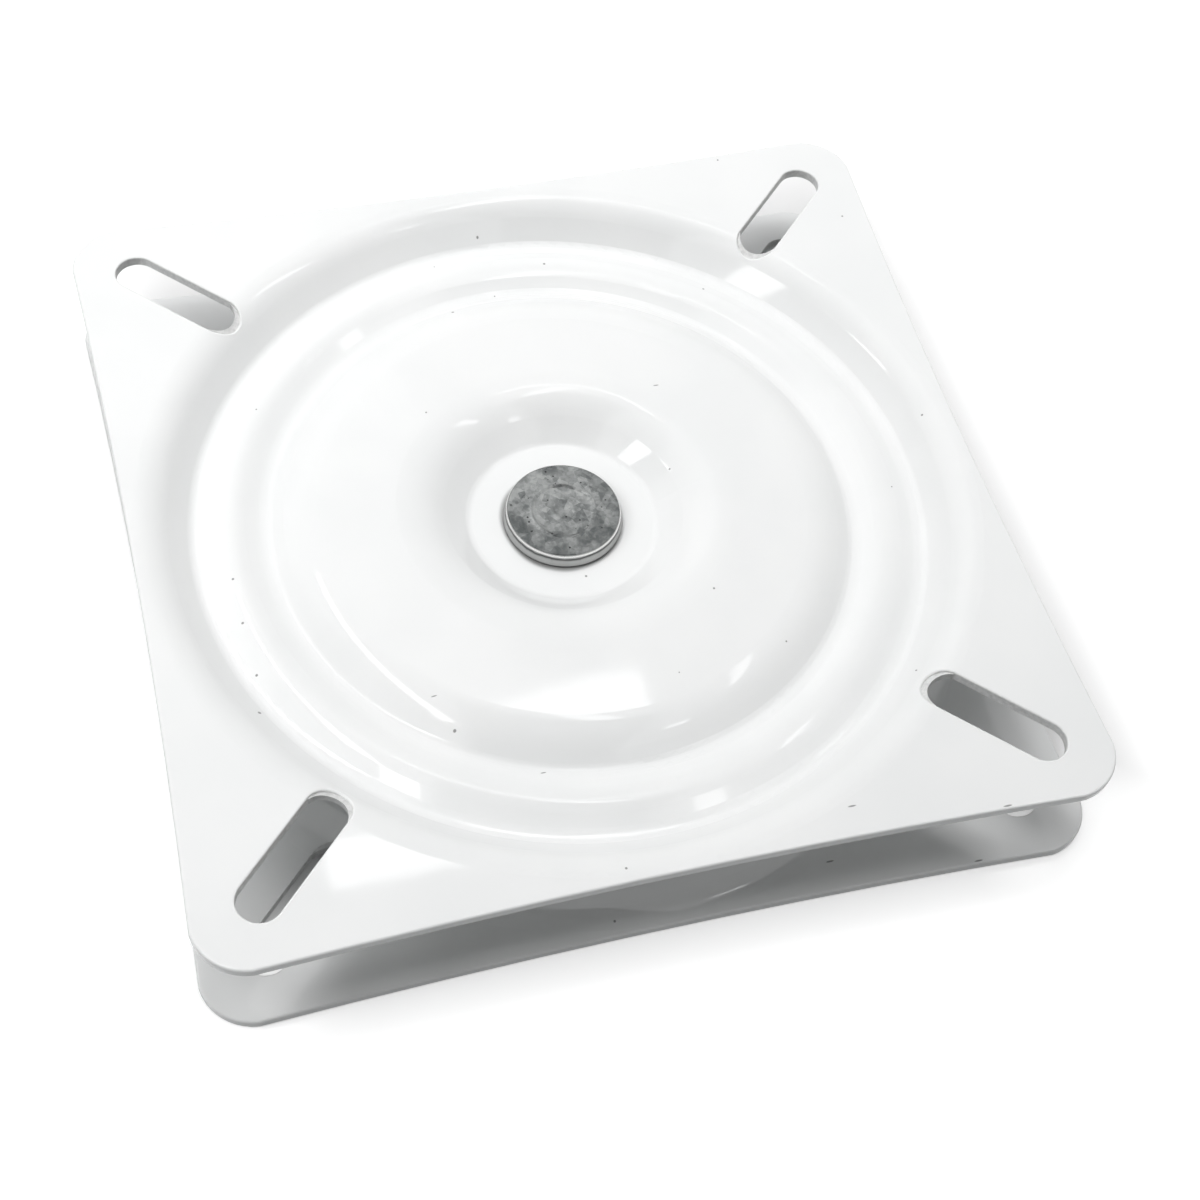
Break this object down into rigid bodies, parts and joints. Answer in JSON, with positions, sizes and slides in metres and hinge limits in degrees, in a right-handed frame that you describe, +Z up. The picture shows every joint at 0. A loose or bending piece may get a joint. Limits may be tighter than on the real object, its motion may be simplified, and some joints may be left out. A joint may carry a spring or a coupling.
{
  "type": "seat swivel base",
  "caption": "Low square swivel: pressed white steel plates with diagonal mounting slots, turning on a caged ball race about a central rivet, to let a seat rotate on its pedestal.",
  "frame": {"origin": "on the swivel axis, at the mounting face of the lower plate", "axes": "+Z up along the swivel axis, X and Y along the sides of the square plates"},
  "size_m": [0.1772, 0.1772, 0.025],
  "materials": {
    "white_enamel": "gloss white baked enamel on pressed steel sheet",
    "zinc_steel": "zinc plated steel, upset head with ring marks",
    "nylon": "natural nylon washer",
    "cage_steel": "plain stamped steel retainer with a film of grease",
    "ball_steel": "polished bearing steel"
  },
  "bodies": {
    "lower_plate": {"bottom_plate": "white_enamel", "pivot_rivet": "zinc_steel", "spacer_washer": "nylon"},
    "upper_plate": {"top_plate": "white_enamel"},
    "ball_ring": {"ball_cage": "cage_steel", "bearing_ball_01": "ball_steel", "bearing_ball_02": "ball_steel", "bearing_ball_03": "ball_steel", "bearing_ball_04": "ball_steel", "bearing_ball_05": "ball_steel", "bearing_ball_06": "ball_steel", "bearing_ball_07": "ball_steel", "bearing_ball_08": "ball_steel", "bearing_ball_09": "ball_steel", "bearing_ball_10": "ball_steel", "bearing_ball_11": "ball_steel", "bearing_ball_12": "ball_steel", "bearing_ball_13": "ball_steel", "bearing_ball_14": "ball_steel", "bearing_ball_15": "ball_steel", "bearing_ball_16": "ball_steel", "bearing_ball_17": "ball_steel", "bearing_ball_18": "ball_steel", "bearing_ball_19": "ball_steel", "bearing_ball_20": "ball_steel", "bearing_ball_21": "ball_steel", "bearing_ball_22": "ball_steel", "bearing_ball_23": "ball_steel", "bearing_ball_24": "ball_steel"}
  },
  "joints": [
    {"name": "swivel", "type": "hinge", "parent": "lower_plate", "child": "upper_plate", "pos_m": [0, 0, 0.0125], "axis": [0, 0, 1], "continuous": true},
    {"name": "ball_ring_turn", "type": "hinge", "parent": "lower_plate", "child": "ball_ring", "pos_m": [0, 0, 0.0125], "axis": [0, 0, 1], "continuous": true}
  ],
  "couplings": [
    {"joint": "ball_ring_turn", "follows": "swivel", "ratio": 0.5}
  ]
}
